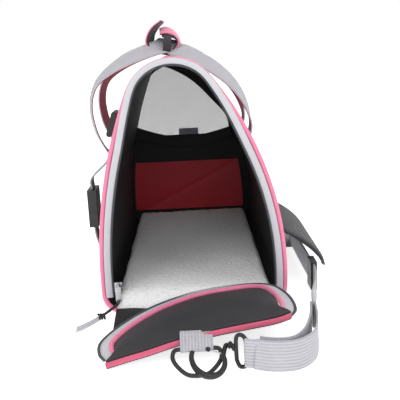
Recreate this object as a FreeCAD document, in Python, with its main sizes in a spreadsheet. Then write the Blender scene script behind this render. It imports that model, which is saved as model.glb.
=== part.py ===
import FreeCAD, Part
import math
import os
import re

# A soft-sided pet carrier: an arched fabric cabin with a drop-down front door,
# a fleece pad, two carrying handles and a shoulder strap clipped to the door.
# Frame: X to the right, Y from the door into the cabin, Z up, and the origin
# in the middle of the flat underside. Millimetres.

doc = FreeCAD.newDocument("pet_carrier")
sheet = doc.addObject("Spreadsheet::Sheet", "Dimensions")
SIZES = [
    ("length", 420), ("half_width", 112), ("height", 300), ("apex_lean", 15),
    ("apex_radius", 57), ("side_centre_z", 42), ("base_corner", 24),
    ("shell_wall", 4), ("lining_wall", 1.4), ("clearance", 0.3),
    ("piping_diameter", 6.4), ("tape_width", 13), ("tape_thickness", 1.2), ("coil_width", 2.4),
    ("board_thickness", 4), ("pad_thickness", 16), ("pad_margin", 5),
    ("rear_wall_thickness", 3), ("window_sill_z", 160), ("window_border", 24),
    ("panel_top_z", 112), ("panel_bottom_z", 28),
    ("door_gap", 8), ("door_lower_length", 132), ("door_upper_length", 135),
    ("door_thickness", 4), ("door_inset", 12), ("door_fold_gap", 0.6),
    ("webbing_width", 32), ("webbing_thickness", 2), ("ring_rod", 4.4),
    ("ring_width", 48), ("ring_depth", 22), ("hook_rod", 4.4),
    ("front_ring_lift", 15), ("rear_ring_lift", 35), ("hook_lift", 20), ("hook_turn", 16),
    ("handle_spread", 60), ("handle_rise", 18), ("left_base_drop", 132), ("right_base_drop", 108),
    ("patch_length", 58), ("ring_bar_reach", 11), ("strap_offset", 40), ("floor_gap", 0.5),
    ("strap_rear_start", 20), ("cross_reach", 36), ("adjuster_length", 26),
    ("shoulder_pad_length", 185), ("shoulder_pad_thickness", 8),
    ("buckle_length", 44), ("buckle_width", 34), ("buckle_thickness", 11), ("buckle_setback", 60),
    ("buckle_z", 118), ("buckle_web_width", 24), ("anchor_z", 238), ("slide_z", 34),
]
# What follows from the sizes above, for the pieces whose places are bound to the sheet.
FORMULAS = [
    ("front_y", "=-length / 2"), ("back_y", "=length / 2"),
    ("inner_inset", "=shell_wall + clearance + lining_wall"), ("floor_z", "=inner_inset + clearance"),
    ("cabin_start", "=front_y + piping_diameter + clearance"),
    ("wall_front", "=back_y - rear_wall_thickness - piping_diameter"),
    ("tape_back", "=front_y + piping_diameter - tape_thickness"),
    ("sill_half", "=half_width - base_corner"), ("board_half", "=sill_half + clearance"),
    ("half_web", "=webbing_width / 2"), ("ring_rest_z", "=ring_rod / 2 + 0.4"),
    ("tab_low", "=ring_rest_z + ring_rod / 2 + clearance"),
    ("door_low", "=tab_low + webbing_thickness + clearance"),
    ("hinge_y", "=front_y - door_gap"), ("hinge_z", "=door_low + door_thickness + door_fold_gap / 2"),
    ("fold_y", "=hinge_y - door_lower_length"), ("ring_bar_y", "=fold_y - ring_bar_reach"),
    ("rear_ring_y", "=back_y + ring_rod / 2 + webbing_thickness + 2 * clearance"),
    ("rear_ring_z", "=window_sill_z - 14"), ("side_x", "=half_width + strap_offset"),
    ("run_z", "=floor_gap + webbing_thickness + clearance"),
    ("rear_bar_y", "=rear_ring_y + ring_depth * sin(rear_ring_lift * 1deg)"),
    ("cross_y", "=rear_bar_y + cross_reach"),
    ("adjuster_y", "=ring_bar_y - 3 + 202"),
    ("top_z", "=height + handle_rise"), ("buckle_y", "=front_y + buckle_setback"),
    ("buckle_x", "=-half_width - buckle_thickness - 3"),
]
for row, (alias, size) in enumerate(SIZES + FORMULAS, start=1):
    sheet.set("A%d" % row, alias)
    sheet.set("B%d" % row, str(size))
    sheet.setAlias("B%d" % row, alias)
doc.recompute()


class Dimensions:
    """The sheet's cells as plain numbers."""


d = Dimensions()
for alias, size in SIZES + FORMULAS:
    setattr(d, alias, float(sheet.get(alias)))

FRONT = d.front_y
BACK = d.back_y
V = FreeCAD.Vector
nodes = []


# ---------------------------------------------------------------- helpers

def solid(label, shape, placement=None):
    """Adds a sub-part whose shape is worked out here, and returns it."""
    feature = doc.addObject("Part::Feature", label)
    feature.Label = label
    feature.Shape = shape
    if placement is not None:
        feature.Placement = placement
    nodes.append(feature)
    return feature


def bound(text):
    """An expression with each size's name turned into a reference to its cell."""
    return re.sub(r"[a-z]\w+", lambda name: "Dimensions." + name.group(), text)


def box(label, x, y, z, node=True):
    """Adds a Part::Box between two ends along each axis, all of them sheet expressions."""
    piece = doc.addObject("Part::Box", label)
    piece.Label = label
    for axis, name, (low, high) in zip("xyz", ("Length", "Width", "Height"), (x, y, z)):
        piece.setExpression(name, bound("(%s) - (%s)" % (high, low)))
        piece.setExpression("Placement.Base." + axis, bound(low))
    if node:
        nodes.append(piece)
    return piece


def joined(kind, label, base, tool):
    """Adds a Part::Cut or Part::Fuse of two pieces."""
    piece = doc.addObject(kind, label)
    piece.Label = label
    piece.Base, piece.Tool = base, tool
    nodes.append(piece)
    return piece


def arch_arcs(inset):
    """Centre, radius and end angles of the arcs round the cabin's arch, anticlockwise from
    the bottom right corner, for an outline moved inward by inset."""
    top = V(-d.apex_lean, 0, d.height - d.apex_radius)
    arcs = []
    for side in (1, -1):
        reach = d.half_width + side * d.apex_lean
        rise = top.z - d.side_centre_z
        radius = (rise ** 2 + reach ** 2 - d.apex_radius ** 2) / (2 * (reach - d.apex_radius))
        centre = V(side * (d.half_width - radius), 0, d.side_centre_z)
        drop = d.side_centre_z - d.base_corner
        run = math.sqrt((radius - d.base_corner) ** 2 - drop ** 2)
        corner = V(centre.x + side * run, 0, d.base_corner)
        low = math.atan2(-drop, run)
        high = math.atan2(top.z - centre.z, side * (top.x - centre.x))
        arcs.append([(corner, d.base_corner - inset, -math.pi / 2, low),
                     (centre, radius - inset, low, high),
                     (top, d.apex_radius - inset, high, math.pi / 2)])
    return arcs


def on_arc(centre, radius, angle, side, y):
    """Point on an arc of the arch; side -1 mirrors the angle to the left half."""
    return V(centre.x + side * radius * math.cos(angle), y, centre.z + radius * math.sin(angle))


def arch_edges(inset, y):
    """Edges of the arch from its bottom right corner over the top to the bottom left one;
    an inset wider than the rounded corners leaves them out."""
    right, left = arch_arcs(inset)
    edges = []
    for arcs, side in ((right, 1), (left, -1)):
        half = []
        for centre, radius, start, end in arcs:
            if radius < 1:
                continue
            points = [on_arc(centre, radius, a, side, y) for a in (start, (start + end) / 2, end)]
            half.append(Part.Arc(*(points if side > 0 else points[::-1])).toShape())
        edges += half if side > 0 else half[::-1]
    return edges


def arch_wire(inset, y):
    """Closed arch outline with its flat bottom."""
    edges = arch_edges(inset, y)
    ends = sorted([v.Point for e in (edges[0], edges[-1]) for v in e.Vertexes],
                  key=lambda point: point.z)[:2]
    edges.append(Part.LineSegment(ends[0], ends[1]).toShape())
    return Part.Wire(Part.__sortEdges__(edges))


def arch_plate(inset, y0, y1):
    """Solid arch between two planes."""
    return Part.Face(arch_wire(inset, y0)).extrude(V(0, y1 - y0, 0))


def block(x0, x1, y0, y1, z0, z1):
    """Box between two corners."""
    return Part.makeBox(x1 - x0, y1 - y0, z1 - z0, V(x0, y0, z0))


def rounded_wire(points, radius):
    """Straight runs through the points, with each corner rounded by a tangent arc."""
    edges = []
    last = points[0]
    for before, corner, after in zip(points, points[1:], points[2:]):
        one, two = (before - corner), (after - corner)
        turn = math.pi - one.getAngle(two)
        back = min(radius * math.tan(turn / 2), 0.45 * one.Length, 0.45 * two.Length)
        start = corner + V(one).normalize() * back
        end = corner + V(two).normalize() * back
        bend = back / math.tan(turn / 2)
        middle_way = (V(one).normalize() + V(two).normalize()).normalize()
        middle = corner + middle_way * (math.hypot(back, bend) - bend)
        edges.append(Part.LineSegment(last, start).toShape())
        edges.append(Part.Arc(start, middle, end).toShape())
        last = end
    edges.append(Part.LineSegment(last, points[-1]).toShape())
    return Part.Wire(edges)


def ribbon(points, radius, across, thickness):
    """Webbing: a flat path thickened to both sides and extruded along the vector across."""
    outline = rounded_wire(points, radius).makeOffset2D(thickness / 2, 0, False, False)
    return Part.Face(outline).extrude(across)


def rod(wire, radius):
    """Round bar along a wire."""
    start = wire.Edges[0]
    tangent = start.tangentAt(start.FirstParameter)
    point = start.valueAt(start.FirstParameter)
    section = Part.Wire(Part.makeCircle(radius, point, tangent))
    return wire.makePipeShell([section], True, False)


# ---------------------------------------------------------------- cabin

lining_inset = d.shell_wall + d.clearance
inner_inset = d.inner_inset
wall_front = d.wall_front
shell_start = d.cabin_start
shell_end = BACK - d.piping_diameter - d.clearance

solid("side_shell", arch_plate(0, shell_start, shell_end).cut(
    arch_plate(d.shell_wall, shell_start - 1, shell_end + 1)))
solid("lining", arch_plate(lining_inset, shell_start, wall_front - d.clearance).cut(
    arch_plate(inner_inset, shell_start - 1, BACK)))

rear_wall = arch_plate(lining_inset, wall_front, wall_front + d.rear_wall_thickness)
window_hole = arch_plate(lining_inset + d.window_border, wall_front - 1, BACK).common(
    block(-d.length, d.length, wall_front - 1, BACK, d.window_sill_z, d.height))
panel_hole = arch_plate(lining_inset + d.window_border / 2, wall_front - 1, BACK).common(
    block(-d.length, d.length, wall_front - 1, BACK, d.panel_bottom_z, d.panel_top_z))
solid("rear_wall", rear_wall.cut(window_hole).cut(panel_hole))
fill_start = wall_front + d.rear_wall_thickness / 3
fill_end = wall_front + d.rear_wall_thickness * 2 / 3
filling = block(-d.length, d.length, fill_start, fill_end, 0, d.height)
solid("rear_window", window_hole.common(filling))
solid("rear_panel", panel_hole.common(filling))

for label, y in (("front_piping", FRONT + d.piping_diameter / 2),
                 ("rear_piping", BACK - d.piping_diameter / 2)):
    solid(label, rod(arch_wire(d.piping_diameter / 2, y), d.piping_diameter / 2))

box("floor_board", ("-board_half", "board_half"),
    ("cabin_start + pad_margin", "wall_front - pad_margin"), ("floor_z", "floor_z + board_thickness"))
pad_half = d.board_half + d.pad_margin
pad_z = d.floor_z + d.board_thickness + d.clearance
pad = block(-pad_half, pad_half, shell_start + d.clearance, wall_front - d.pad_margin,
            pad_z, pad_z + d.pad_thickness)
solid("fleece_pad", pad.makeFillet(d.pad_thickness / 3, pad.Edges))

# The zip round the opening: tape and teeth inside the piping, above the sill.
tape_back = d.tape_back
tape_inset = d.piping_diameter + d.clearance
sill_top = d.base_corner
above_sill = block(-d.length, d.length, FRONT, BACK, sill_top, d.height)
tape = arch_plate(tape_inset, tape_back, tape_back + d.tape_thickness).cut(
    arch_plate(tape_inset + d.tape_width, FRONT, BACK))
solid("opening_tape", tape.common(above_sill))
coil_inset = tape_inset + d.tape_width + d.clearance / 3
coil = arch_plate(coil_inset, tape_back - 0.6, tape_back + d.tape_thickness + 0.6).cut(
    arch_plate(coil_inset + d.coil_width, FRONT, BACK))
solid("opening_coil", coil.common(above_sill))
box("sill_strip", ("-sill_half", "sill_half"), ("tape_back - piping_diameter", "tape_back + 1"),
    ("piping_diameter + clearance", "base_corner - 14 + piping_diameter"))

# ---------------------------------------------------------------- door

hinge_y, hinge_z = d.hinge_y, d.hinge_z
fold_y, fold_z = d.fold_y, d.hinge_z
door_low = d.door_low


def laid_out(inset, start, end, low, thickness):
    """Arch outline between two heights above the hinge, laid forward on the ground: height
    above the hinge becomes distance in front of it, and low is the underside's height."""
    upright = arch_plate(d.door_inset + inset, 0, thickness).common(
        block(-d.length, d.length, -1, thickness + 1, hinge_z + start, hinge_z + end))
    upright.translate(V(0, 0, -hinge_z))
    upright.rotate(V(0, 0, 0), V(1, 0, 0), 90)
    upright.translate(V(0, hinge_y, low))
    return upright


def folded_back(shape):
    """Folds a laid-out shape back over the fold line, inner faces together."""
    shape.rotate(V(0, fold_y, fold_z), V(1, 0, 0), 180)
    return shape


seam = 2
lower_end = d.door_lower_length - seam
upper_start = d.door_lower_length + seam
upper_end = d.door_lower_length + d.door_upper_length
rim = d.tape_width + d.piping_diameter
solid("door_lower_panel", laid_out(0, seam, lower_end, door_low, d.door_thickness))
fold_half = laid_out(0, lower_end, upper_start, door_low, d.door_thickness).BoundBox
solid("door_band", block(fold_half.XMin, fold_half.XMax, fold_y - seam + d.clearance,
                         fold_y + seam - d.clearance, door_low, door_low + d.door_thickness))

tape_low = door_low + d.door_thickness / 2
upper_tape = laid_out(0, upper_start, upper_end, tape_low, d.tape_thickness).cut(
    laid_out(d.tape_width, 0, upper_end - d.tape_width, tape_low - 1, d.tape_thickness + 2))
upper_piping = laid_out(d.tape_width, upper_start, upper_end - d.tape_width, door_low,
                        d.door_thickness).cut(
    laid_out(rim, 0, upper_end - rim, door_low - 1, d.door_thickness + 2))
upper_core = laid_out(rim, upper_start, upper_end - rim, door_low, d.door_thickness)
mesh_hole = laid_out(rim + d.window_border / 2, upper_start + d.window_border / 2,
                     upper_end - rim - d.window_border / 2, door_low - 1, d.door_thickness + 2)
mesh = laid_out(rim + d.window_border / 2, upper_start + d.window_border / 2,
                upper_end - rim - d.window_border / 2, tape_low, 1)
solid("door_zip_tape", folded_back(upper_tape))
solid("door_piping", folded_back(upper_piping))
solid("door_window_frame", folded_back(upper_core.cut(mesh_hole)))
solid("door_window", folded_back(mesh))

# ---------------------------------------------------------------- rings and hooks

half_web = d.half_web
ring_r = d.ring_rod / 2


def ring_shape():
    """D-ring in the XY plane, its bar on the X axis, reaching to -Y by its depth."""
    half = d.ring_width / 2
    narrow = half * 0.55
    points = [V(0, 0, 0), V(half, 0, 0), V(half, -d.ring_depth * 0.5, 0), V(narrow, -d.ring_depth, 0),
              V(-narrow, -d.ring_depth, 0), V(-half, -d.ring_depth * 0.5, 0), V(-half, 0, 0),
              V(0, 0, 0)]
    return rod(rounded_wire(points, 5), ring_r)


def hook_shape():
    """Snap hook in the XY plane: its throat is round the origin, its neck points to +X."""
    points = [V(6, 9, 0), V(-3, 10, 0), V(-11, 5, 0), V(-12, -5, 0), V(-4, -11, 0), V(10, -12, 0),
              V(22, -7, 0), V(26, 0, 0)]
    return rod(rounded_wire(points, 7), d.hook_rod / 2)


def gate_shape():
    """Sprung gate that closes the throat from the neck to the hook's nose."""
    return Part.makeCylinder(0.9, 16.6, V(7.2, 7.2, 0), V(1, -0.28, 0))


def swivel_shape():
    """Swivel neck and the wide eye for the webbing, on the X axis."""
    neck = Part.makeCylinder(d.hook_rod / 2, 10, V(28.4, 0, 0), V(1, 0, 0))
    outer = Part.makeBox(12, d.webbing_width + 8, 5.6, V(37, -half_web - 4, -2.8))
    slot = Part.makeBox(5, d.webbing_width + 1, 8, V(40.5, -half_web - 0.5, -4))
    return neck.fuse(outer.cut(slot)).removeSplitter()


def end_shape():
    """Sewn end of the webbing, doubled through the swivel's eye."""
    outer = Part.makeBox(16, d.webbing_width, 2, V(49.6, -half_web, -1))
    inner = Part.makeBox(8, d.webbing_width, 2, V(41.6, -half_web, -1))
    return outer.cut(inner)


box("front_ring_tab", ("-half_web", "half_web"), ("ring_bar_y - ring_rod / 2", "fold_y + 24"),
    ("tab_low", "tab_low + webbing_thickness"))
ring_tilt = FreeCAD.Rotation(V(1, 0, 0), -d.front_ring_lift)
ring_place = FreeCAD.Placement(V(0, d.ring_bar_y, d.ring_rest_z), ring_tilt)
solid("front_ring", ring_shape(), ring_place)

box("rear_ring_tab", ("-half_web", "half_web"),
    ("wall_front + rear_wall_thickness + clearance", "rear_ring_y + 1"),
    ("rear_ring_z + ring_rod / 2 + clearance", "rear_ring_z + 24"))
down = FreeCAD.Rotation(V(1, 0, 0), 90 + d.rear_ring_lift)
rear_ring_place = FreeCAD.Placement(V(0, d.rear_ring_y, d.rear_ring_z), down)
solid("rear_ring", ring_shape(), rear_ring_place)

# The front hook lies on its side: its bow passes under the ring's far bar, and its neck
# rises over the ring's leg. The rear hook hangs across its ring's bar.
front_bar = ring_place.multVec(V(0, -d.ring_depth, 0))
lift = math.radians(d.hook_lift)
hook_low = d.hook_rod / 2 + d.clearance
front_hook_place = FreeCAD.Placement(
    V(2, front_bar.y, hook_low + 14 * math.sin(lift)),
    FreeCAD.Rotation(V(0, 0, 1), d.hook_turn) * FreeCAD.Rotation(V(0, 1, 0), -d.hook_lift))
rear_bar = rear_ring_place.multVec(V(0, -d.ring_depth, 0))
across = FreeCAD.Rotation(V(0, 0, -1), V(0, -1, 0), V(-1, 0, 0), "XYZ")
along = FreeCAD.Rotation(V(0, 0, -1), V(-1, 0, 0), V(0, 1, 0), "XYZ")
rear_hook_place = FreeCAD.Placement(rear_bar, across)
rear_eye_place = FreeCAD.Placement(rear_bar, along)
for name, place, eye in (("front", front_hook_place, front_hook_place),
                         ("rear", rear_hook_place, rear_eye_place)):
    solid(name + "_hook", hook_shape(), place)
    solid(name + "_hook_gate", gate_shape(), place)
    solid(name + "_swivel", swivel_shape(), eye)
    solid(name + "_strap_end", end_shape(), eye)

# ---------------------------------------------------------------- shoulder strap

t_web = d.webbing_thickness
loop_y = d.ring_bar_y - 3
side_x, run_z, on_floor = d.side_x, d.run_z, d.floor_gap
run_x = d.half_width + 16
ply_gap = 1.1 * t_web + 2 * d.clearance
outer_ply = [V(72, loop_y - 9, on_floor), V(d.half_width - 14, loop_y - 9, on_floor),
             V(d.half_width + 10, loop_y + 24, on_floor), V(run_x + ply_gap, loop_y + 84, on_floor)]
inner_ply = [V(72, loop_y - 1, on_floor), V(d.half_width - 18, loop_y - 1, on_floor),
             V(d.half_width, loop_y + 26, on_floor),
             V(run_x - ply_gap + 0.7, loop_y + 84, on_floor)]
rise = V(0, 0, d.webbing_width)
solid("strap_outer_ply", ribbon(outer_ply, 26, rise, t_web))
solid("strap_inner_ply", ribbon(inner_ply, 20, rise, t_web))
run_y = loop_y + 80
solid("strap_side_run", ribbon([V(run_x, run_y, run_z), V(run_x + 4, run_y + 30, run_z),
                                V(side_x, run_y + 118, run_z), V(side_x, 48, run_z)],
                               60, rise, t_web))
loops = box("adjuster_outside", ("side_x - 4", "side_x + 4"),
            ("adjuster_y", "adjuster_y + adjuster_length"), ("0.3", "run_z + webbing_width + 2.6"),
            node=False)
gap = box("adjuster_slot", ("side_x - webbing_thickness / 2 - 0.5", "side_x + webbing_thickness / 2 + 0.5"),
          ("adjuster_y - 1", "adjuster_y + adjuster_length + 1"),
          ("run_z - 0.4", "run_z + webbing_width + 0.4"), node=False)
joined("Part::Cut", "strap_adjuster", loops, gap)
cross_y = d.cross_y
box("strap_rear_run", ("side_x - half_web", "side_x + half_web"),
    ("strap_rear_start", "cross_y + webbing_width"), ("floor_gap", "floor_gap + webbing_thickness"))
eye_end = rear_bar.z - 67
drop = [V(-half_web, rear_bar.y, eye_end), V(-half_web, rear_bar.y + 2, 24),
        V(-half_web, cross_y - 10, on_floor + t_web / 2),
        V(-half_web, cross_y + d.webbing_width, on_floor + t_web / 2)]
solid("strap_rear_drop", ribbon(drop, 30, V(d.webbing_width, 0, 0), t_web))
box("strap_rear_cross", ("-half_web", "side_x + half_web"), ("cross_y", "cross_y + webbing_width"),
    ("run_z", "run_z + webbing_thickness"))


def wall_x(side, z, off):
    """X of the cabin's side wall at a height, off the outer face by a distance."""
    centre, radius = arch_arcs(0)[0 if side > 0 else 1][1][:2]
    return centre.x + side * (math.sqrt((radius + off) ** 2 - (z - centre.z) ** 2))


pad_y = d.adjuster_y + d.adjuster_length + 18
pad_half_thick = d.shoulder_pad_thickness / 2
bend_z = run_z + d.webbing_width + 3.2
low, mid, high = (V(side_x + half_web + 6, pad_y, 5),
                  V(side_x + t_web / 2 + 1.2 + pad_half_thick, pad_y, bend_z),
                  V(wall_x(1, bend_z + 38, pad_half_thick + 0.6), pad_y, bend_z + 38))
pad_line = Part.Wire(Part.Arc(low, mid, high).toShape())
pad_face = Part.Face(pad_line.makeOffset2D(pad_half_thick, 0, False, False))
solid("shoulder_pad", pad_face.extrude(V(0, d.shoulder_pad_length, 0)))

# ---------------------------------------------------------------- carrying handles


off_wall = d.webbing_thickness / 2 + d.clearance
top_z = d.top_z
width_y = V(0, d.webbing_width, 0)
grip = d.handle_spread + half_web


def strands(points, radius, bar):
    """A handle: the same webbing path in front and behind, joined by a bar along the top."""
    shape = bar
    for y in (-grip, d.handle_spread - half_web):
        path = [V(p[0], y, p[1]) for p in points]
        shape = shape.fuse(ribbon(path, radius, width_y, t_web))
    return shape.removeSplitter()


def off_the_wall(side, pairs):
    """Points of a handle's path, each a distance off the wall and a drop below the arch's top."""
    return [(wall_x(side, d.height - fall, off), d.height - fall) for off, fall in pairs]


left_base, right_base = d.height - d.left_base_drop, d.height - d.right_base_drop
left_top = top_z + 6 + t_web / 2
left_bar = block(-37, -6, -grip, grip, top_z + 6, top_z + 6 + t_web)
left_path = off_the_wall(-1, [(off_wall, d.left_base_drop - 1.3), (40.7, 95), (54.9, 56), (47.5, 28),
                              (19.1, 20)]) + [(-34, left_top), (-20, left_top)]
right_bar = block(-34, -2, -grip, grip, top_z, top_z + t_web)
right_path = off_the_wall(1, [(off_wall, d.right_base_drop - 1.3), (15.8, 85), (21.6, 54), (22.3, 22),
                              (15.5, 0)]) + [(0, top_z + t_web / 2), (-14, top_z + t_web / 2)]
solid("left_handle", strands(left_path, 18, left_bar))
solid("right_handle", strands(right_path, 18, right_bar))
for name, side, base in (("left", -1, left_base), ("right", 1, right_base)):
    patches = []
    for y in (-grip, d.handle_spread - half_web):
        spots = [V(wall_x(side, z, off_wall), y, z) for z in
                 (base - d.patch_length, base - d.patch_length / 2, base - 1)]
        line = Part.Wire(Part.Arc(*spots).toShape())
        patches.append(Part.Face(line.makeOffset2D(t_web / 2, 0, False, False)).extrude(width_y))
    solid(name + "_handle_patches", patches[0].fuse(patches[1]))
wrap_ends = ("half_web - handle_spread + 2", "handle_spread - half_web - 2")
joined("Part::Fuse", "handle_wrap",
       box("wrap_roof", ("-40", "2"), wrap_ends, ("top_z + 16", "top_z + 19"), node=False),
       box("wrap_wall", ("-40", "-37"), wrap_ends, ("top_z - 4", "top_z + 16"), node=False))

# ---------------------------------------------------------------- side buckle

sides = ("buckle_x", "buckle_x + buckle_thickness")
joined("Part::Cut", "buckle_socket",
       box("socket_outside", sides, ("buckle_y - buckle_width / 2", "buckle_y + buckle_width / 2"),
           ("buckle_z", "buckle_z + buckle_length * 0.6"), node=False),
       box("socket_slot", ("buckle_x + 3", "buckle_x + buckle_thickness - 3"),
           ("buckle_y - buckle_width / 2 + 4", "buckle_y + buckle_width / 2 - 4"),
           ("buckle_z - 1", "buckle_z + buckle_length * 0.45"), node=False))
buckle_y, buckle_z = d.buckle_y, d.buckle_z
buckle_half = d.buckle_width / 2
buckle_x, outer_x = d.buckle_x, d.buckle_x + d.buckle_thickness
plug_in = 3.4
plug = block(buckle_x, outer_x, buckle_y - buckle_half, buckle_y + buckle_half,
             buckle_z - d.buckle_length * 0.45, buckle_z - d.clearance)
for side in (-1, 1):
    prong_y = buckle_y + side * (buckle_half - 7)
    plug = plug.fuse(block(buckle_x + plug_in, outer_x - plug_in, prong_y - 2, prong_y + 2,
                           buckle_z - 1, buckle_z + d.buckle_length * 0.4))
solid("buckle_plug", plug.removeSplitter())
web_x = buckle_x + d.buckle_thickness / 2
web_y = buckle_y - d.buckle_web_width / 2
web_across = V(0, d.buckle_web_width, 0)
anchor_z = d.anchor_z
upper_web = [V(web_x, web_y, buckle_z + d.buckle_length * 0.6 + t_web / 2 + d.clearance),
             V(wall_x(-1, 192, off_wall + 2), web_y, 192),
             V(wall_x(-1, anchor_z, off_wall), web_y, anchor_z)]
solid("buckle_upper_web", ribbon(upper_web, 60, web_across, t_web))
lower_web = [V(web_x, web_y, buckle_z - d.buckle_length * 0.45 - t_web / 2 - d.clearance),
             V(wall_x(-1, 62, off_wall + 3), web_y, 62), V(wall_x(-1, 40, off_wall), web_y, 40)]
solid("buckle_lower_web", ribbon(lower_web, 40, web_across, t_web))
ladder_off = 1.5 * t_web + d.clearance + 3.6
ladder = [V(wall_x(-1, z, ladder_off), web_y - 3, z) for z in (anchor_z - 26, anchor_z - 14,
                                                                  anchor_z - 3)]
solid("ladder_lock", ribbon(ladder, 200, V(0, d.buckle_web_width + 6, 0), 7))

# ---------------------------------------------------------------- zip slider

slide_z = d.slide_z
left_arc = arch_arcs(0)[1][1]
track = left_arc[1] - tape_inset - d.tape_width - d.coil_width / 2
slide_x = left_arc[0].x - math.sqrt(track ** 2 - (slide_z - left_arc[0].z) ** 2)
slide_y = tape_back - 0.6 - d.clearance
slider = block(slide_x - 4.5, slide_x + 4.5, slide_y - 3.4, slide_y, slide_z - 6, slide_z + 6)
bridge = block(slide_x - 1, slide_x + 1, slide_y - 6.4, slide_y - 3.4, slide_z - 5, slide_z - 3)
bridge = bridge.fuse(block(slide_x - 1, slide_x + 1, slide_y - 6.4, slide_y - 3.4, slide_z + 3,
                           slide_z + 5))
bridge = bridge.fuse(block(slide_x - 1, slide_x + 1, slide_y - 7.6, slide_y - 6.2, slide_z - 5,
                           slide_z + 5))
solid("zip_slider", slider.fuse(bridge).removeSplitter())
pull = block(slide_x - 3.4, slide_x + 3.4, slide_y - 8.4 - d.clearance, slide_y - 7.6 - d.clearance,
             slide_z - 16, slide_z + 2)
solid("zip_puller", pull)
solid("pull_ribbon", block(slide_x - 3, slide_x + 3, slide_y - 9.6 - d.clearance,
                           slide_y - 8.4 - d.clearance, slide_z - 31, slide_z - 13))

# ---------------------------------------------------------------- checks and files

doc.recompute()
for item in doc.Objects:
    if any(word in item.State for word in ("Invalid", "Error")):
        raise ValueError("failed: " + item.Label)
os.makedirs("parts", exist_ok=True)
for node in nodes:
    if node.Shape.isNull() or not node.Shape.isValid():
        raise ValueError("bad shape: " + node.Label)
    node.Shape.exportStep("parts/%s.step" % node.Label)
    print(node.Label, len(node.Shape.Solids), round(node.Shape.Volume / 1000, 2))
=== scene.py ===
import bpy
import math
import numpy as np
from mathutils import Matrix, Vector, noise


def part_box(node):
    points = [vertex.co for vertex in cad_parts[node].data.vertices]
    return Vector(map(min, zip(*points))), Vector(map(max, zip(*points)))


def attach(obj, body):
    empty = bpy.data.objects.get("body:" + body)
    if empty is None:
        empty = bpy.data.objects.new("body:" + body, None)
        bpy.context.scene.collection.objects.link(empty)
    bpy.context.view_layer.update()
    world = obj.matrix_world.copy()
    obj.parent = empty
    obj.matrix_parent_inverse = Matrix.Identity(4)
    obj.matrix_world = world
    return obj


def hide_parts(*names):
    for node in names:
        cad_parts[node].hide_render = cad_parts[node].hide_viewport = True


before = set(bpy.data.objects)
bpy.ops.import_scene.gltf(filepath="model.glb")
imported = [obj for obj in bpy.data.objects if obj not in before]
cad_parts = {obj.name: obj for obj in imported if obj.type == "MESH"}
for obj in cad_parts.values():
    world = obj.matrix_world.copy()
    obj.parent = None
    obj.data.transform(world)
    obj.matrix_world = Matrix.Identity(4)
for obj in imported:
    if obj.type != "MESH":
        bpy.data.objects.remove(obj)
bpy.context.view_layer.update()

# ---- Camera, light and floor ----
# The camera stands low in front of the open door, tipped a little down. Two large soft
# lamps and a white world give the even light of a white studio sweep.
MM = 0.001


def linear(code):
    """Linear RGBA of an sRGB hex colour."""
    srgb = [int(code[i:i + 2], 16) / 255 for i in (1, 3, 5)]
    return [c / 12.92 if c <= 0.04045 else ((c + 0.055) / 1.055) ** 2.4 for c in srgb] + [1.0]


def add(tree, kind, **inputs):
    """Adds a shader node; sockets given as inputs are linked and numbers are set."""
    made = tree.nodes.new(kind)
    for name, value in inputs.items():
        socket = made.inputs[name.replace("_", " ")] if isinstance(name, str) else made.inputs[name]
        if isinstance(value, bpy.types.NodeSocket):
            tree.links.new(value, socket)
        else:
            socket.default_value = value
    return made


def put(node, **values):
    """Sets a shader node's inputs."""
    for name, value in values.items():
        node.inputs[name.replace("_", " ")].default_value = value


def placed(name, data):
    """A new object in the scene."""
    made = bpy.data.objects.new(name, data)
    scene.collection.objects.link(made)
    return made


scene = bpy.context.scene
lens = bpy.data.cameras.new("camera")
camera = placed("camera", lens)
CAMERA_PLACE = (0.0049, -0.9525, 0.3101)
TIPPED_DOWN, TURNED_RIGHT, ROLLED = (math.radians(a) for a in (13.163, 0.48, -2.638))
camera.matrix_world = (Matrix.Translation(CAMERA_PLACE) @ Matrix.Rotation(-TURNED_RIGHT, 4, "Z")
                       @ Matrix.Rotation(math.radians(90) - TIPPED_DOWN, 4, "X")
                       @ Matrix.Rotation(ROLLED, 4, "Z"))
lens.sensor_width = 36
lens.lens = 59.2
lens.clip_end = 30
scene.camera = camera

for name, place, size, power in (("key", (-1.3, -1.5, 2.1), 1.6, 17), ("fill", (1.7, -0.9, 1.6), 1.6, 9),
                                 ("top", (0, 0.3, 2.4), 2.2, 13), ("front", (0.1, -1.5, 0.75), 0.8, 4.5)):
    lamp = bpy.data.lights.new(name, "AREA")
    lamp.energy = power
    lamp.size = size
    holder = placed(name, lamp)
    holder.location = place
    holder.rotation_euler = (Vector((0, 0, 0.1)) - Vector(place)).to_track_quat("-Z", "Y").to_euler()
world = bpy.data.worlds.new("world")
world.use_nodes = True
world.node_tree.nodes["Background"].inputs["Color"].default_value = (1, 1, 1, 1)
world.node_tree.nodes["Background"].inputs["Strength"].default_value = 0.62
sky = world.node_tree
clear = sky.nodes.new("ShaderNodeBackground")
put(clear, Color=(1, 1, 1, 1))
seen = sky.nodes.new("ShaderNodeLightPath")
choice = sky.nodes.new("ShaderNodeMixShader")
sky.links.new(seen.outputs["Is Camera Ray"], choice.inputs["Fac"])
sky.links.new(sky.nodes["Background"].outputs["Background"], choice.inputs[1])
sky.links.new(clear.outputs["Background"], choice.inputs[2])
sky.links.new(choice.outputs["Shader"], sky.nodes["World Output"].inputs["Surface"])
scene.world = world
scene.view_settings.view_transform = "Standard"

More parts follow.
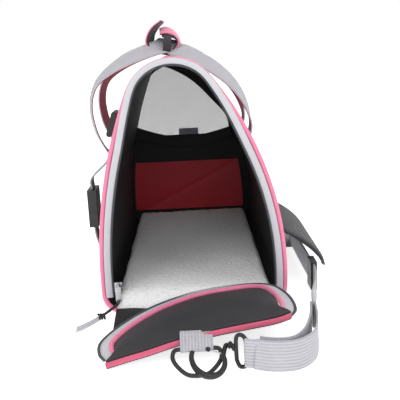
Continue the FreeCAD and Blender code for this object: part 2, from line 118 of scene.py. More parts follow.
floor_mesh = bpy.data.meshes.new("floor")
floor_mesh.from_pydata([(-30, -30, 0), (30, -30, 0), (30, 30, 0), (-30, 30, 0)], [], [(0, 1, 2, 3)])
floor = placed("floor", floor_mesh)
paper = bpy.data.materials.new("studio_paper")
paper.use_nodes = True
shine = paper.node_tree.nodes["Principled BSDF"]
put(shine, Base_Color=(0.95, 0.95, 0.95, 1), Roughness=0.9, Emission_Color=(1, 1, 1, 1),
    Emission_Strength=0.72)
floor_mesh.materials.append(paper)


# ---- Materials ----
# Cloths are woven from two crossed bands in the piece's own metre-scaled UV, with slow
# changes of colour over them. Plastics and metals use fine grain in Object coordinates.
def shell(name, roughness, metallic=0.0):
    """A new material, its node tree and its main shader."""
    made = bpy.data.materials.new(name)
    made.use_nodes = True
    main = made.node_tree.nodes["Principled BSDF"]
    put(main, Roughness=roughness, Metallic=metallic)
    return made, made.node_tree, main


def maths(tree, operation, one, two):
    """A maths node's output."""
    made = tree.nodes.new("ShaderNodeMath")
    made.operation = operation
    for socket, value in zip(made.inputs, (one, two)):
        if isinstance(value, bpy.types.NodeSocket):
            tree.links.new(value, socket)
        else:
            socket.default_value = value
    return made.outputs[0]


def grain_of(tree, coords, scale, detail):
    """Noise at a scale."""
    return add(tree, "ShaderNodeTexNoise", Vector=coords, Scale=scale, Detail=detail).outputs["Fac"]


def bands(tree, vector, axis, pitch):
    """Sine bands across one axis, one per pitch metres."""
    made = add(tree, "ShaderNodeTexWave", Vector=vector, Scale=0.314 / pitch)
    made.bands_direction = axis
    return made.outputs["Fac"]


def tinted(tree, main, colour, factor, change):
    """Base colour that goes darker and lighter with a factor."""
    base = linear(colour)
    dark = [c * (1 - change) for c in base[:3]] + [1]
    light = [min(1, c * (1 + change)) for c in base[:3]] + [1]
    mix = add(tree, "ShaderNodeMix")
    mix.data_type = "RGBA"
    tree.links.new(factor, mix.inputs[0])
    mix.inputs[6].default_value = dark
    mix.inputs[7].default_value = light
    tree.links.new(mix.outputs[2], main.inputs["Base Color"])
    return mix


def cloth(name, colour, pitch=0.0012, roughness=0.85, change=0.22, depth=0.35, sheen=0.25,
          ribs=None, own_uv=True):
    """Woven cloth; ribs is the pitch of heavier lines across the width, as on webbing."""
    made, tree, main = shell(name, roughness)
    coords = tree.nodes.new("ShaderNodeTexCoord").outputs["UV" if own_uv else "Object"]
    warp = bands(tree, coords, "X", pitch)
    weft = bands(tree, coords, "Y", pitch)
    height = maths(tree, "MULTIPLY", warp, weft)
    if ribs:
        height = maths(tree, "ADD", height, maths(tree, "MULTIPLY", bands(tree, coords, "Y", ribs), 1.6))
    slow = grain_of(tree, coords, 60.0, 4.0)
    fine = grain_of(tree, coords, 900.0, 2.0)
    blend = maths(tree, "ADD", maths(tree, "MULTIPLY", height, 0.45),
                  maths(tree, "ADD", maths(tree, "MULTIPLY", slow, 0.5), maths(tree, "MULTIPLY", fine, 0.25)))
    tinted(tree, main, colour, blend, change)
    bump = add(tree, "ShaderNodeBump", Height=maths(tree, "ADD", height, maths(tree, "MULTIPLY", fine, 0.5)),
               Strength=depth, Distance=pitch * 0.35)
    tree.links.new(bump.outputs["Normal"], main.inputs["Normal"])
    put(main, Sheen_Weight=sheen, Sheen_Roughness=0.4)
    return made


def net(name, colour, pitch, open_share, roughness=0.7):
    """Open mesh: threads both ways with clear holes between them."""
    made, tree, main = shell(name, roughness)
    coords = tree.nodes.new("ShaderNodeTexCoord").outputs["UV"]
    warp = bands(tree, coords, "X", pitch)
    weft = bands(tree, coords, "Y", pitch)
    thread = maths(tree, "GREATER_THAN", maths(tree, "MAXIMUM", warp, weft), open_share)
    slow = grain_of(tree, coords, 80.0, 3.0)
    tinted(tree, main, colour, slow, 0.2)
    tree.links.new(thread, main.inputs["Alpha"])
    return made


def moulded(name, colour, roughness=0.38, metallic=0.0, grain=2500.0):
    """Moulded plastic or metal with a fine surface grain and uneven gloss."""
    made, tree, main = shell(name, roughness, metallic)
    coords = tree.nodes.new("ShaderNodeTexCoord").outputs["Object"]
    fine = grain_of(tree, coords, grain, 3.0)
    slow = grain_of(tree, coords, 90.0, 3.0)
    tinted(tree, main, colour, slow, 0.15)
    gloss = maths(tree, "ADD", maths(tree, "MULTIPLY", slow, 0.22), roughness - 0.1)
    tree.links.new(gloss, main.inputs["Roughness"])
    bump = add(tree, "ShaderNodeBump", Height=fine, Strength=0.12, Distance=0.0002)
    tree.links.new(bump.outputs["Normal"], main.inputs["Normal"])
    return made


PINK = cloth("pink_nylon", "#e87a9d", pitch=0.0009, roughness=0.55, sheen=0.4)
# The fold band is pink cloth; its darker red-pink colour is painted shade for the band's down-facing side at
# the fold.
FOLD_PINK_IN_SHADE = cloth("fold_red", "#c4506f", pitch=0.0009, roughness=0.55, sheen=0.3)
RED = cloth("red_nylon", "#cf2436", pitch=0.0010, roughness=0.5)
BLACK = cloth("black_lining", "#111013", pitch=0.0011, roughness=0.65, sheen=0.03)
CHARCOAL = cloth("charcoal_polyester", "#3a3a3f", pitch=0.0016, roughness=0.8)
TAPE = cloth("zip_tape", "#b3b3b8", pitch=0.0008, ribs=0.0021, roughness=0.8)
WEBBING = cloth("grey_webbing", "#a3a2a8", pitch=0.0012, ribs=0.0032, roughness=0.8, change=0.3, depth=0.6)
WRAP_BLACK = cloth("wrap_black", "#2f2d31", pitch=0.0011, roughness=0.75)
# Dark red-pink: painted shade and painted pink reflection from the pink walls, for the grey handle webbing's
# underside.
PAINTED_PINK_REFLECTION = cloth("maroon_backing", "#7a2b3c", pitch=0.0011)
PAD_CLOTH = cloth("pad_cloth", "#2b282d", pitch=0.0018, roughness=0.75, depth=0.7)
NET = net("window_mesh", "#85808f", 0.0011, 0.60)
PLASTIC = moulded("black_acetal", "#141416")
STEEL = moulded("zip_metal", "#b9b9bd", roughness=0.3, metallic=1.0)
TEETH = moulded("zip_teeth", "#55565b", roughness=0.45)


# ---- Mesh tools ----
# Every new piece is a grid of points or a profile swept along a path, with UVs in metres.
def finish_mesh(name, points, faces, uvs, material, body, slot, *nodes):
    """Makes the piece, smooths it, and puts it on its body in place of the carried nodes."""
    mesh = bpy.data.meshes.new(name)
    mesh.from_pydata([tuple(p) for p in points], [], [tuple(f) for f in faces])
    layer = mesh.uv_layers.new(name="UVMap")
    order = np.zeros(len(mesh.loops), dtype=int)
    mesh.loops.foreach_get("vertex_index", order)
    layer.data.foreach_set("uv", np.asarray(uvs, dtype=float)[order].ravel())
    mesh.polygons.foreach_set("use_smooth", [True] * len(mesh.polygons))
    mesh.materials.append(material)
    piece = placed(name, mesh)
    if body:
        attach(piece, body)
        if nodes:
            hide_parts(*nodes)
    return piece


def lattice(rows, columns, wrap=False):
    """Faces of a grid of rows by columns points; wrap closes each row on itself."""
    faces = []
    for i in range(rows - 1):
        for j in range(columns if wrap else columns - 1):
            k = (j + 1) % columns
            faces.append((i * columns + j, i * columns + k, (i + 1) * columns + k, (i + 1) * columns + j))
    return faces


def caps(rows, columns):
    """The two end faces of a closed tube of rows by columns points."""
    return [tuple(range(columns))[::-1], tuple((rows - 1) * columns + j for j in range(columns))]


def uv_grid(along, across):
    """UVs of a grid from its distances along and across."""
    return np.stack(np.broadcast_arrays(along[:, None], across[None, :]), axis=2).reshape(-1, 2)


def lengths(path):
    """Distance along a path to each of its points."""
    return np.concatenate([[0], np.cumsum(np.linalg.norm(np.diff(path, axis=0), axis=1))])


def even_out(line, count, endpoint=True):
    """The same line with count evenly spaced points, with or without its last one."""
    reach = lengths(line)
    even = np.linspace(0, reach[-1], count, endpoint=endpoint)
    return np.stack([np.interp(even, reach, column) for column in line.T], axis=1)


def smooth_path(points, count):
    """Catmull-Rom curve through a few points, evenly spaced."""
    p = np.asarray(points, dtype=float)
    if len(p) == 2:
        return p[0] + np.linspace(0, 1, count)[:, None] * (p[1] - p[0])
    ends = (2 * p[0] - p[1], 2 * p[-1] - p[-2])
    p = np.vstack([ends[0], p, ends[1]])
    fine = []
    for a, b, c, e in zip(p, p[1:], p[2:], p[3:]):
        t = np.linspace(0, 1, 24, endpoint=False)[:, None]
        fine.append(0.5 * (2 * b + (c - a) * t + (2 * a - 5 * b + 4 * c - e) * t ** 2
                           + (3 * b - a - 3 * c + e) * t ** 3))
    return even_out(np.vstack(fine + [p[-2:-1]]), count)


def curve_mm(points, count):
    """smooth_path through points given in millimetres."""
    return smooth_path(np.array(points) * MM, count)


def sweep(name, path, across, profile, material, body, slot, *nodes, closed=False):
    """A closed profile of (across, normal) pairs carried along a path. The normal is the
    path's direction crossed with across."""
    path = np.asarray(path, dtype=float)
    ahead_of = np.gradient(path, axis=0)
    if closed:
        ahead_of = np.roll(path, -1, axis=0) - np.roll(path, 1, axis=0)
    ahead_of /= np.linalg.norm(ahead_of, axis=1)[:, None]
    across = np.broadcast_to(np.asarray(across, dtype=float), path.shape)
    across = across - (across * ahead_of).sum(1)[:, None] * ahead_of
    across = across / np.linalg.norm(across, axis=1)[:, None]
    normal = np.cross(ahead_of, across)
    profile = np.asarray(profile, dtype=float)
    points = (path[:, None] + across[:, None] * profile[None, :, :1] + normal[:, None] * profile[None, :, 1:])
    rows, columns = points.shape[:2]
    faces = lattice(rows, columns, wrap=True)
    if closed:
        faces += [(a + (rows - 1) * columns, b + (rows - 1) * columns, b, a)
                  for a, b in ((j, (j + 1) % columns) for j in range(columns))]
    else:
        faces += caps(rows, columns)
    along = lengths(path)
    around = np.concatenate([[0], np.cumsum(np.linalg.norm(np.diff(profile, axis=0), axis=1))])
    return finish_mesh(name, points.reshape(-1, 3), faces, uv_grid(along, around), material, body,
                       slot, *nodes)


def round_profile(radius, count=16):
    """Circle."""
    turn = np.linspace(0, 2 * math.pi, count, endpoint=False)
    return np.stack([radius * np.cos(turn), radius * np.sin(turn)], axis=1)


def flat_profile(width, thickness, count=12):
    """Flat band with rounded edges and a slightly raised selvedge along both sides."""
    half = width / 2 - thickness / 2
    x = np.linspace(-half, half, count)
    edge = thickness / 2 * (1 + 0.25 * np.exp(-((np.abs(x) - half) / (0.08 * width)) ** 2))
    turn = np.linspace(-math.pi / 2, math.pi / 2, 7)[1:-1]
    nose = np.stack([half + thickness / 2 * np.cos(turn), thickness / 2 * np.sin(turn)], axis=1)
    top = np.stack([x[::-1], edge[::-1]], axis=1)
    return np.vstack([np.stack([x, -edge], axis=1), nose, top, -nose])


WEB_WIDE, WEB_THICK = 31 * MM, 1.9 * MM


def webbing(name, path, across, body, *nodes, wide=WEB_WIDE, thick=WEB_THICK):
    """Grey webbing carried along a path."""
    return sweep(name, path, across, flat_profile(wide, thick), WEBBING, body, "grey_webbing", *nodes)


def boxed(node):
    """Low and high corner of a node's box."""
    return [np.array(corner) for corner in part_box(node)]


def recolour(material, *nodes):
    """Gives carried nodes one material of the scene's own."""
    for node in nodes:
        data = bpy.data.objects[node].data
        data.materials.clear()
        data.materials.append(material)


def wavy(points, size, amount, seed=0.0):
    """Smooth noise of -amount to amount at each point."""
    return np.array([noise.noise(Vector(p) / size + Vector((seed, seed, seed))) for p in points]) * amount


# ---- Arched cabin: outer cloth, lining and pipings ----
# The cabin's outline is one arch: a flat base with rounded corners, a long side arc each way
# and a small arc over the top, which has slumped to the left. Insets move it inward.
low, high = boxed("side_shell")
FRONT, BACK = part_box("front_piping")[0][1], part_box("rear_piping")[1][1]
HALF, TOP, LEAN = high[0], high[2], 15 * MM
APEX_R, SIDE_Z, CORNER = 57 * MM, 42 * MM, 24 * MM
PINK_FROM, WINDOW_FROM, WINDOW_TOP = 205 * MM, 150 * MM, 278 * MM


def arch(inset, count=181, start=0.0):
    """Points (x, z) of the arch, anticlockwise from the bottom right over the top to the
    bottom left, evenly spaced, leaving out what lies below the height start."""
    halves = []
    for side in (1, -1):
        reach = HALF + side * LEAN
        rise = TOP - APEX_R - SIDE_Z
        radius = (rise ** 2 + reach ** 2 - APEX_R ** 2) / (2 * (reach - APEX_R))
        cx = HALF - radius
        run = math.sqrt((radius - CORNER) ** 2 - (SIDE_Z - CORNER) ** 2)
        bend = math.atan2(CORNER - SIDE_Z, run)
        crown = math.atan2(rise, -side * LEAN - cx)
        arcs = [((cx + run, CORNER), max(CORNER - inset, 0), -math.pi / 2, bend),
                ((cx, SIDE_Z), radius - inset, bend, crown),
                ((-side * LEAN, TOP - APEX_R), APEX_R - inset, crown, math.pi / 2)]
        points = []
        for (x, z), r, a, b in arcs:
            turn = np.linspace(a, b, 80)
            points.append(np.stack([x + r * np.cos(turn), z + r * np.sin(turn)], axis=1))
        half = np.vstack(points)
        half[:, 0] *= side
        halves.append(half)
    line = np.vstack([halves[0], halves[1][::-1]])
    return even_out(line[line[:, 1] >= start], count)


def loop(inset, count=260):
    """The whole closed outline, base included, evenly spaced."""
    line = arch(inset, 400)
    return even_out(np.vstack([line, line[:1]]), count, endpoint=False)


def tunnel(name, inset, y0, y1, sag, seed, material, slot, *nodes, rows=70):
    """Cloth tube along the cabin that dips between its ends and creases a little."""
    outline = loop(inset)
    points, uvs = [], []
    around = lengths(np.vstack([outline, outline[:1]]))[:-1]
    for row, y in enumerate(np.linspace(y0, y1, rows)):
        share = row / (rows - 1)
        held = math.sin(math.pi * share)
        for (x, z), u in zip(outline, around):
            spot = Vector((x * 14, y * 9, z * 14 + seed))
            crease = noise.noise(spot) + 0.5 * noise.noise(spot * 2.7)
            upper = min(1, max(0, (z - 0.03) / 0.12))
            move = held ** 0.5 * upper * (sag * 0.5 + sag * crease)
            points.append((x * (1 - move / 0.1), y, z - move * 0.6 * upper))
            uvs.append((u, y))
    return finish_mesh(name, points, lattice(rows, len(outline), wrap=True), uvs, material,
                       "bag", slot, *nodes)


outer = tunnel("outer_cloth", 1 * MM, FRONT + 5 * MM, BACK - 5 * MM, 0.0022, 3.0, CHARCOAL,
               "shell_fabric", "side_shell")
outer.data.materials.append(PINK)
for face in outer.data.polygons:
    if face.center.z > PINK_FROM:
        face.material_index = 1
tunnel("lining_cloth", 6 * MM, FRONT + 6 * MM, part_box("rear_wall")[0][1] - 1 * MM, 0.003, 8.0, BLACK,
       "lining_fabric", "lining")

for end, y in (("front", FRONT + 3.2 * MM), ("rear", BACK - 3.2 * MM)):
    line = loop(3.2 * MM, 420)
    path = np.stack([line[:, 0], np.full(len(line), y), line[:, 1]], axis=1)
    path += np.stack([np.zeros(len(path)), wavy(path, 0.03, 0.0006), np.zeros(len(path))], axis=1)
    sweep(end + "_welt", path, (0, 1, 0), round_profile(3.0 * MM), PINK, "bag", "pink_piping",
          end + "_piping", closed=True)

# ---- Zip round the opening ----
# Grey tape inside the welt leans slightly into the cabin, with a row of moulded teeth on its
# inner edge.
TAPE_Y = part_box("opening_tape")[0][1]


def band(name, outline_out, outline_in, y_out, y_in, material, body, slot, *nodes, thickness=1.1 * MM):
    """Flat cloth band between two outlines of (x, z), a few points wide and closed round."""
    rows = []
    for share in np.linspace(0, 1, 7):
        flat = outline_out * (1 - share) + outline_in * share
        bulge = math.sin(math.pi * share) * 0.6 * MM
        y = y_out * (1 - share) + y_in * share - bulge
        rows.append(np.stack([flat[:, 0], np.full(len(flat), y), flat[:, 1]], axis=1))
    back = [r + np.array([0, thickness, 0]) for r in rows[::-1]]
    grid = np.stack(rows + back, axis=1)
    count, columns = grid.shape[:2]
    along = lengths(outline_out)
    across = np.linspace(0, 0.028, columns)
    uvs = uv_grid(along, across)
    faces = lattice(count, columns, wrap=True)
    faces += caps(count, columns)
    return finish_mesh(name, grid.reshape(-1, 3), faces, uvs, material, body, slot, *nodes)


def teeth(name, path, inward, body, pitch=1.9 * MM, size=(1.0 * MM, 3.0 * MM, 2.2 * MM)):
    """Row of zip teeth along a path: small blocks with a rounded waist, long side inward."""
    reach = lengths(path)
    spots = np.arange(pitch, reach[-1] - pitch, pitch)
    centre = np.stack([np.interp(spots, reach, path[:, k]) for k in range(3)], axis=1)
    way = np.gradient(centre, axis=0)
    way /= np.linalg.norm(way, axis=1)[:, None]
    side = np.stack([np.interp(spots, reach, inward[:, k]) for k in range(3)], axis=1)
    side /= np.linalg.norm(side, axis=1)[:, None]
    face_way = np.cross(way, side)
    points, faces, uvs = [], [], []
    for c, a, s, f in zip(centre, way, side, face_way):
        base = len(points)
        for t, swell in ((-1, 0.6), (-0.4, 1.0), (0.4, 1.0), (1, 0.7)):
            for da, df in ((-1, -1), (1, -1), (1, 1), (-1, 1)):
                points.append(c + a * da * size[0] / 2 * swell + s * t * size[1] / 2
                              + f * df * size[2] / 2 * swell)
                uvs.append((t * 0.001, da * 0.001))
        for ring in range(3):
            for j in range(4):
                k = (j + 1) % 4
                faces.append((base + ring * 4 + j, base + ring * 4 + k, base + ring * 4 + 4 + k,
                              base + ring * 4 + 4 + j))
        faces += [(base + 3, base + 2, base + 1, base), tuple(base + 12 + j for j in range(4))]
    made = finish_mesh(name, points, faces, uvs, TEETH, body, "zip_teeth")
    made.data.polygons.foreach_set("use_smooth", [False] * len(faces))
    return made


def inset_line(low_inset, high_inset, count, start):
    """The arch moved in by one inset at its sides and another at its crown."""
    near, far = arch(low_inset, count, start), arch(high_inset, count, start)
    share = np.clip((near[:, 1] - 0.19) / 0.09, 0, 1)[:, None]
    share = share * share * (3 - 2 * share)
    return near * (1 - share) + far * share


start_z = 22 * MM
tape_out, tape_in = inset_line(6 * MM, 0.8 * MM, 320, start_z), inset_line(13.6 * MM, 7.4 * MM, 320, start_z)
band("opening_tape_cloth", tape_out, tape_in, FRONT - 1.2 * MM, FRONT - 0.4 * MM, TAPE, "bag",
     "grey_tape", "opening_tape")
edge = inset_line(14.6 * MM, 8.4 * MM, 420, start_z)
edge_path = np.stack([edge[:, 0], np.full(len(edge), FRONT + 0.2 * MM), edge[:, 1]], axis=1)
middle = np.array([-LEAN, TAPE_Y, 0.12])
tooth_row = teeth("opening_teeth", edge_path, middle - edge_path, "bag")
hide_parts("opening_coil")

# ---- Far wall: frame, mesh window and red panel ----
# The window fills most of the far arch and hangs a little slack over a black wall, on which
# the red nylon panel is sewn; the panel has a diagonal crease.
def width_at(inset, z):
    """Left and right x of the arch at a height."""
    line = arch(inset, 900)
    near = line[np.abs(line[:, 1] - z) < 1.2 * MM]
    return (near[:, 0].min(), near[:, 0].max()) if len(near) else (-LEAN, -LEAN)


def panel(name, bottom, top, edges, y, relief, material, body, slot, *nodes, rows=60, columns=70):
    """Cloth panel between two edges at each height, from the height bottom(u) up to the height
    top; relief(u, v) moves it along Y."""
    points, uvs = [], []
    for v in np.linspace(0, 1, rows):
        for u in np.linspace(0, 1, columns):
            z = bottom(u) * (1 - v) + top * v
            left, rightmost = edges(z)
            x = left + (rightmost - left) * u
            points.append((x, y + relief(u, v), z))
            uvs.append((x, z))
    return finish_mesh(name, points, lattice(rows, columns), uvs, material, body, slot, *nodes)


FLAT = lambda u, v: 0
WALL_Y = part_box("rear_wall")[0][1]
WALL_CLOTH = cloth("wall_cloth", "#151417", pitch=0.0012, roughness=0.7, own_uv=False)
levels = np.linspace(0.004, TOP - 6 * MM, 240)
reaches = np.array([width_at(5.6 * MM, z) for z in levels])
wall_edges = lambda z: (np.interp(z, levels, reaches[:, 0]), np.interp(z, levels, reaches[:, 1]))
right_side = curve_mm([(71, 0, 150), (70, 0, 178), (63, 0, 196), (43, 0, 219), (24, 0, 240),
                       (3, 0, 258), (-21, 0, 272), (-36, 0, 278)], 200)


def window_edges(z):
    """Left and right x of the window at a height; it rounds over at its top left."""
    left = np.interp(z, levels, reaches[:, 0]) + 2 * MM
    left += 14 * MM * max(0.0, (z - 0.262) / 0.016) ** 2
    return min(left, -0.040), np.interp(z, right_side[:, 2], right_side[:, 0])


sag = lambda u: 0.174 - 0.005 * u - 0.016 * math.sin(math.pi * u)
panel("window_net", sag, WINDOW_TOP, window_edges, WALL_Y + 1.2 * MM,
      lambda u, v: 0.001 * math.sin(math.pi * u) * math.sin(math.pi * v), NET, "bag",
      "mesh_fabric", "rear_window")
panel("far_wall_low", lambda u: 0.004, WINDOW_FROM, wall_edges, WALL_Y + 0.9 * MM, FLAT, WALL_CLOTH,
      "bag", "lining_fabric", "rear_wall")
panel("far_wall_mid", lambda u: 0.149, 0.160,
      wall_edges, WALL_Y + 0.9 * MM, FLAT, WALL_CLOTH, "bag", "lining_fabric", rows=4)
fit = arch(5.6 * MM, 400, WINDOW_FROM)
bound = [(window_edges(z)[1], z) for z in np.linspace(WINDOW_FROM, WINDOW_TOP, 120)]
bound += [(window_edges(z)[0], z) for z in np.linspace(WINDOW_TOP, WINDOW_FROM, 120)]
bound = even_out(np.array(bound), 400)
band("far_wall_frame", fit, bound, WALL_Y + 0.6 * MM, WALL_Y + 0.6 * MM, WALL_CLOTH, "bag", "lining_fabric")
red_low, red_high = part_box("rear_panel")
red_edges = lambda z: (wall_edges(z)[0] + 6 * MM, wall_edges(z)[1] - 15 * MM)
panel("red_panel", lambda u: red_low[2] - 1 * MM, red_high[2] + 1 * MM, red_edges, WALL_Y - 0.6 * MM,
      lambda u, v: 0.0012 * math.exp(-((v - 1.1 * u + 0.1) / 0.05) ** 2)
      + 0.0006 * noise.noise(Vector((u * 5, v * 3, 2.0))), RED, "bag", "red_nylon", "rear_panel")
hem = []
for u in np.linspace(-0.035, 1.035, 60):
    left, rightmost = window_edges(sag(u))
    hem.append((left + (rightmost - left) * u, WALL_Y - 0.2 * MM, sag(u) - 8 * MM))
sweep("window_hem", hem, (0, 0, 1), flat_profile(19 * MM, 1.2 * MM), BLACK, "bag", "lining_fabric")

# ---- Floor board and fleece pad ----
# A cloth-covered board, and on it a thick fleece pad whose front edge sags over the sill. The
# pile is modelled: tufts a few millimetres across, raised at random and turned down at the edge.
recolour(WALL_CLOTH, "floor_board")

fleece, tree, main = shell("fleece", 1.0)
coords = tree.nodes.new("ShaderNodeTexCoord").outputs["Object"]
curls = add(tree, "ShaderNodeTexNoise", Vector=coords, Scale=420.0, Detail=6.0, Roughness=0.75).outputs["Fac"]
clumps = add(tree, "ShaderNodeTexVoronoi", Vector=coords, Scale=260.0).outputs["Distance"]
pile = maths(tree, "ADD", curls, maths(tree, "MULTIPLY", clumps, 0.8))
tinted(tree, main, "#f6f6fd", pile, 0.22)
bump = add(tree, "ShaderNodeBump", Height=pile, Strength=0.9, Distance=0.0016)
tree.links.new(bump.outputs["Normal"], main.inputs["Normal"])
put(main, Sheen_Weight=0.6, Subsurface_Weight=0.15, Subsurface_Radius=(0.004, 0.004, 0.004))
pad_low, pad_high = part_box("fleece_pad")


def fleece_height(x, y):
    """Tufted height over the pad: broad swells, tufts and fine curls."""
    spot = Vector((x, y, 0.0))
    swell = noise.noise(spot * 14) * 2.2 + noise.noise(spot * 40) * 0.9
    tuft = noise.noise(spot * 170) * 0.8 + noise.noise(spot * 420) * 0.45
    return (swell + tuft) * MM


FRONT_SAG = 26 * MM
columns, rows = 260, 460
points, uvs = [], []
half_x = (pad_high[0] - pad_low[0]) / 2
for v in np.linspace(0, 1, rows):
    for u in np.linspace(-1, 1, columns):
        x = u * half_x
        sag_here = (0.35 + 0.65 * math.exp(-((u + 0.25) / 0.6) ** 2)) * (1 - 0.6 * max(u, 0))
        front = pad_low[1] - FRONT_SAG * sag_here
        y = front + (pad_high[1] - front) * v
        rim = min(1 - abs(u), v * 2.2, (1 - v) * 2.2)
        plump = 1 - math.exp(-rim / 0.035)
        top = pad_low[2] + (pad_high[2] - pad_low[2]) * (0.15 + 0.85 * plump)
        droop = 9 * MM * max(0.0, (pad_low[1] + 4 * MM - y) / (30 * MM)) ** 1.4
        x += noise.noise(Vector((x * 60, y * 60, 7.0))) * 1.5 * MM * (1 if rim < 0.08 else 0)
        points.append((x, y, top + fleece_height(x, y) * (0.5 + 0.5 * plump) - droop + 1.5 * MM))
        uvs.append((x, y))
top_count = len(points)
faces = lattice(rows, columns)
border = ([j for j in range(columns)] + [i * columns + columns - 1 for i in range(1, rows)]
          + [(rows - 1) * columns + j for j in range(columns - 2, -1, -1)]
          + [i * columns for i in range(rows - 2, 0, -1)])
for index in border:
    x, y, z = points[index]
    points.append((x * 0.985, y * 0.985 + 0.002, max(pad_low[2] + 0.5 * MM, z - 9 * MM)
                   if y > pad_low[1] else z - 6 * MM))
    uvs.append((x, y))
ring = len(border)
for j in range(ring):
    k = (j + 1) % ring
    faces.append((border[k], border[j], top_count + j, top_count + k))
faces.append(tuple(top_count + j for j in range(ring)))
fluffy = finish_mesh("fleece_mat", points, faces, uvs, fleece, "bag", "fleece", "fleece_pad")

# ---- Sill ----
# The lining turns over the front of the base as a soft black strip.
sill_low, sill_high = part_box("sill_strip")
sill_path = [(x, (sill_low[1] + sill_high[1]) / 2 + 1.5 * MM, (sill_low[2] + sill_high[2]) / 2)
             for x in np.linspace(sill_low[0], sill_high[0], 60)]
turn = np.linspace(0, 2 * math.pi, 24, endpoint=False)
sill_round = np.stack([4.6 * MM * np.cos(turn), 4.0 * MM * np.sin(turn)], axis=1)
sweep("sill_roll", sill_path, (0, 1, 0), sill_round, BLACK, "bag", "lining_fabric", "sill_strip")

# ---- Door ----
# The door lies open: its lower half forward on the ground, lining up, and its upper half folded
# back over it with the outer face up. The fold climbs to the right, where the strap lies by it,
# and the arch of the upper half has slewed to the right.
fold = curve_mm([(-91, -352, 6), (-72, -349, 10), (-48, -346, 15), (-20, -343, 22), (18, -341, 30),
                 (51, -340, 35), (81, -338, 39), (97, -332, 41)], 120)
rim = curve_mm([(-92, -350, 9), (-99.5, -336, 11), (-99, -316, 15), (-80, -283, 19),
                (-52, -250, 22), (-20, -225, 24), (8, -213, 26), (42, -210, 29), (70, -217, 33),
                (90, -236, 37), (100.5, -268, 40), (104, -300, 42), (103, -322, 42), (97, -334, 41)], 120)
HEART = np.array([0.015, -0.305, 0.02])


def moved_in(path, distance, lift=0.0):
    """A path moved towards the middle of the door and up."""
    way = np.gradient(path, axis=0)
    side = np.cross(way, (0, 0, 1))
    side /= np.linalg.norm(side, axis=1)[:, None]
    flip = np.sign((side * (HEART - path)).sum(1))[:, None]
    return path + side * flip * distance + np.array([0, 0, lift])


def between(name, one, two, rows, rise, thickness, material, body, slot, *nodes, seed=0.0):
    """Cloth of some thickness stretched between two paths, bowed up by rise in the middle."""
    top, uvs = [], []
    for v in np.linspace(0, 1, rows):
        line = one * (1 - v) + two * v
        bow = rise * math.sin(math.pi * v)
        line = line + np.array([0, 0, 1]) * (bow + wavy(line, 0.035, 0.0012, seed) * math.sin(math.pi * v)
                                             )[:, None]
        top.append(line)
        uvs.append(line[:, :2])
    top = np.stack(top)
    grid = np.concatenate([top, (top - np.array([0, 0, thickness]))[::-1]])
    uvs = np.concatenate([np.stack(uvs), np.stack(uvs)[::-1]])
    count, columns = grid.shape[:2]
    faces = lattice(count, columns)
    faces += [((count - 1) * columns + j, (count - 1) * columns + j + 1, j + 1, j)
              for j in range(columns - 1)]
    for j in (0, columns - 1):
        for i in range(rows - 1):
            a, b = i * columns + j, (i + 1) * columns + j
            c, e = (count - 2 - i) * columns + j, (count - 1 - i) * columns + j
            faces.append((a, b, c, e) if j else (e, c, b, a))
    return finish_mesh(name, grid.reshape(-1, 3), faces, uvs.reshape(-1, 2), material, body, slot, *nodes)


sill_edge = np.stack([np.linspace(-0.094, 0.094, 120), np.full(120, FRONT - 9 * MM),
                      np.full(120, 11 * MM)], axis=1)
between("door_lower_lining", sill_edge, fold - np.array([0, -2 * MM, 3 * MM]), 40, -0.001, 2.6 * MM, BLACK,
        "door_lower", "lining_fabric", "door_lower_panel", seed=4.0)
DOOR_NET = cloth("door_mesh_cloth", "#27272a", pitch=0.0011, roughness=0.62, change=0.16, depth=0.5,
                 sheen=0.1)
panel_edge = moved_in(rim, 16.5 * MM, 0.5 * MM)
between("door_upper_mesh", fold + np.array([0, 1 * MM, 4 * MM]), panel_edge, 46, 0.0035, 2 * MM, DOOR_NET,
        "door_upper", "mesh_fabric", "door_window", "door_window_frame", seed=9.0)
welt = moved_in(rim, 13.2 * MM, 1.2 * MM)
sweep("door_welt", welt, (0, 0, 1), round_profile(2.7 * MM), PINK, "door_upper", "pink_piping",
      "door_piping")
between("door_tape", moved_in(rim, 1.5 * MM), moved_in(rim, 12.5 * MM, 1.5 * MM), 8, 0.0012, 1 * MM, TAPE,
        "door_upper", "grey_tape", "door_zip_tape")
teeth("door_teeth", rim, HEART - rim, "door_upper")
roll = np.array([(0.5 * math.cos(t), math.sin(t)) for t in np.linspace(0, 2 * math.pi, 20)[:-1]])
# The fold band's colour is pink darkened with painted shade.
band_path = fold + np.array([0, -1.5 * MM, 0])
sweep("fold_band", band_path, (0, 0.25, 1), roll[:, ::-1] * 2.7 * MM, FOLD_PINK_IN_SHADE, "door_lower", "red_nylon",
      "door_band")

# ---- Front and rear rings with their webbing tabs ----
# Black rings turn in a doubled webbing tab with a box of stitches.
def stitches(name, corners, body, slot, dash=2.2 * MM, gap=1.0 * MM, radius=0.22 * MM):
    """Rows of raised thread dashes along a polyline."""
    corners = np.asarray(corners, dtype=float)
    points, faces, uvs = [], [], []
    for a, b in zip(corners, corners[1:]):
        span = np.linalg.norm(b - a)
        way = (b - a) / span
        side = np.cross(way, (0, 0, 1) if abs(way[2]) < 0.9 else (0, 1, 0))
        side /= np.linalg.norm(side)
        lift = np.cross(side, way)
        for start in np.arange(gap, span - dash, dash + gap):
            base = len(points)
            for t in np.linspace(0, 1, 5):
                thick = radius * math.sin(math.pi * (0.15 + 0.7 * t)) * 1.4
                for turn in np.linspace(0, 2 * math.pi, 6, endpoint=False):
                    points.append(a + way * (start + dash * t) + (side * math.cos(turn)
                                                                  + lift * math.sin(turn)) * thick)
                    uvs.append((t * dash, turn * radius))
            faces += [tuple(base + k for k in f) for f in lattice(5, 6, wrap=True)]
            faces += [tuple(base + j for j in range(6))[::-1], tuple(base + 24 + j for j in range(6))]
    return finish_mesh(name, points, faces, uvs, THREAD, body, slot)


